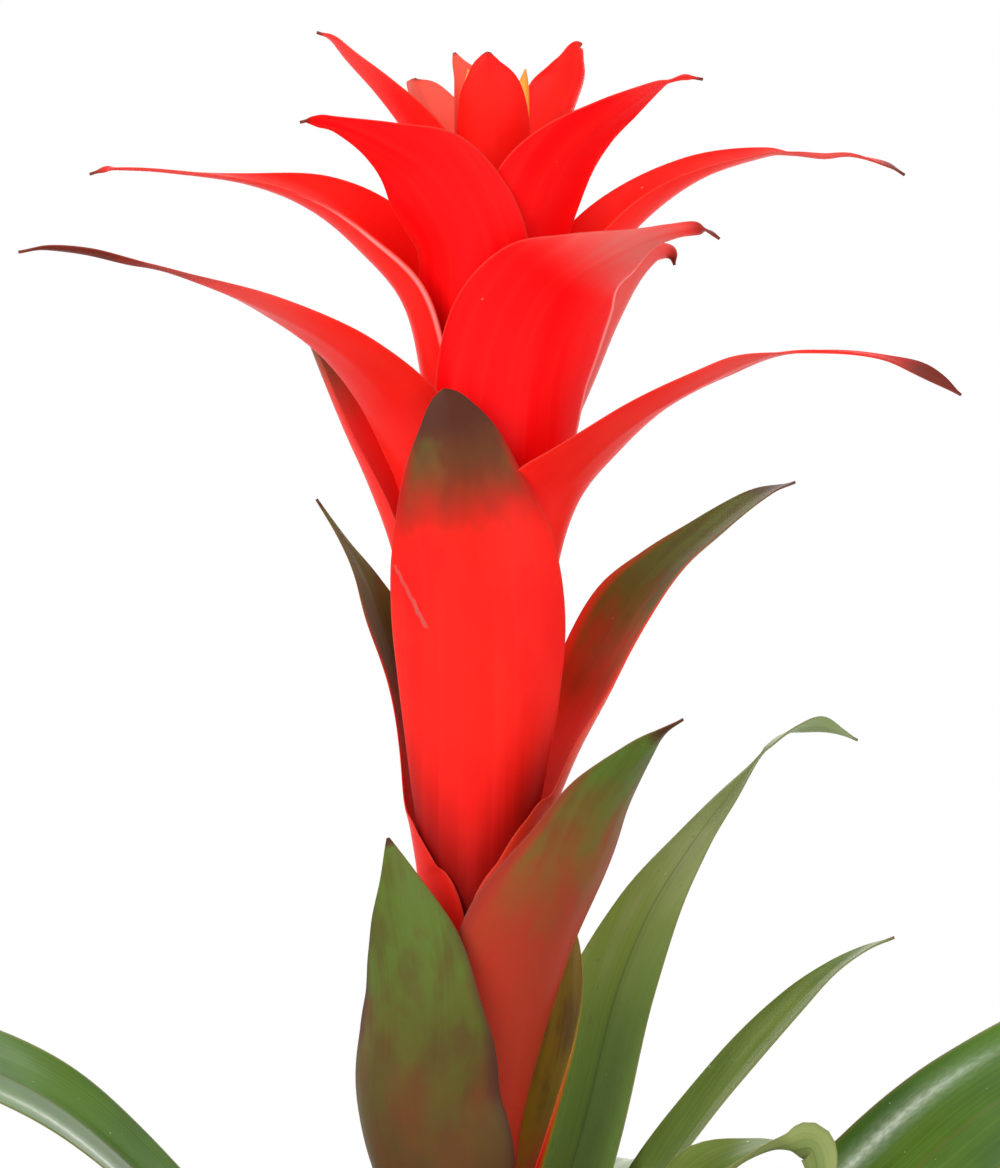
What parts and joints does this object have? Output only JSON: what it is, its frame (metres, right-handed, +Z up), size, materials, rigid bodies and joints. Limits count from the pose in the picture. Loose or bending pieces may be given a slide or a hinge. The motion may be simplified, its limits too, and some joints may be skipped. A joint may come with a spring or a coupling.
{
  "type": "guzmania",
  "caption": "Bromeliad cut at its base: a stem clasped by red bracts that flare into a loose star, flower buds in its heart, over a rosette of arching green strap leaves.",
  "frame": {"origin": "the middle of the plant's footprint, on the surface it stands on, at the centre of the cut face of its stem", "axes": "+Z up along the stem, -Y towards the side with the big front bract, +X to that viewer's right"},
  "size_m": [0.5059, 0.4792, 0.4323],
  "materials": {
    "red_bract": "waxy bright red leaf tissue, satin, darker in its folds, brown green at some tips",
    "blushed_bract": "leaf tissue that turns from red at the sheath to brown green at the tip, satin",
    "green_bract": "green leaf tissue blushed red brown near its foot, satin",
    "leaf": "thin leathery green leaf, satin with a pale sheen and fine lengthwise streaks",
    "bud": "unopened flower, yellow orange, matt",
    "stem": "fresh pale green stalk, matt, with a paler cut face"
  },
  "bodies": {
    "root": {"stem": "stem", "bud_01": "bud", "bud_02": "bud", "bud_03": "bud", "bract_01": "green_bract", "bract_02": "blushed_bract", "bract_03": "blushed_bract", "bract_04": "blushed_bract", "bract_05": "blushed_bract", "bract_06": "red_bract", "bract_07": "red_bract", "bract_08": "red_bract", "bract_09": "blushed_bract", "bract_10": "red_bract", "bract_11": "red_bract", "bract_12": "red_bract", "bract_13": "red_bract", "bract_14": "red_bract", "bract_15": "red_bract", "bract_16": "red_bract", "bract_17": "red_bract", "bract_18": "red_bract", "bract_19": "red_bract", "bract_20": "red_bract", "bract_21": "red_bract", "bract_22": "red_bract", "bract_23": "red_bract", "bract_24": "red_bract", "bract_25": "red_bract", "bract_26": "red_bract", "bract_27": "red_bract", "leaf_01": "leaf", "leaf_02": "leaf", "leaf_03": "leaf", "leaf_04": "leaf", "leaf_05": "leaf", "leaf_06": "leaf", "leaf_07": "leaf", "leaf_08": "leaf", "leaf_09": "leaf", "leaf_10": "leaf", "leaf_11": "leaf", "leaf_12": "leaf", "leaf_13": "leaf", "leaf_14": "leaf", "leaf_15": "leaf", "leaf_16": "leaf", "leaf_17": "leaf", "leaf_18": "leaf", "leaf_19": "leaf", "leaf_20": "leaf", "leaf_21": "leaf", "leaf_22": "leaf"}
  },
  "joints": []
}
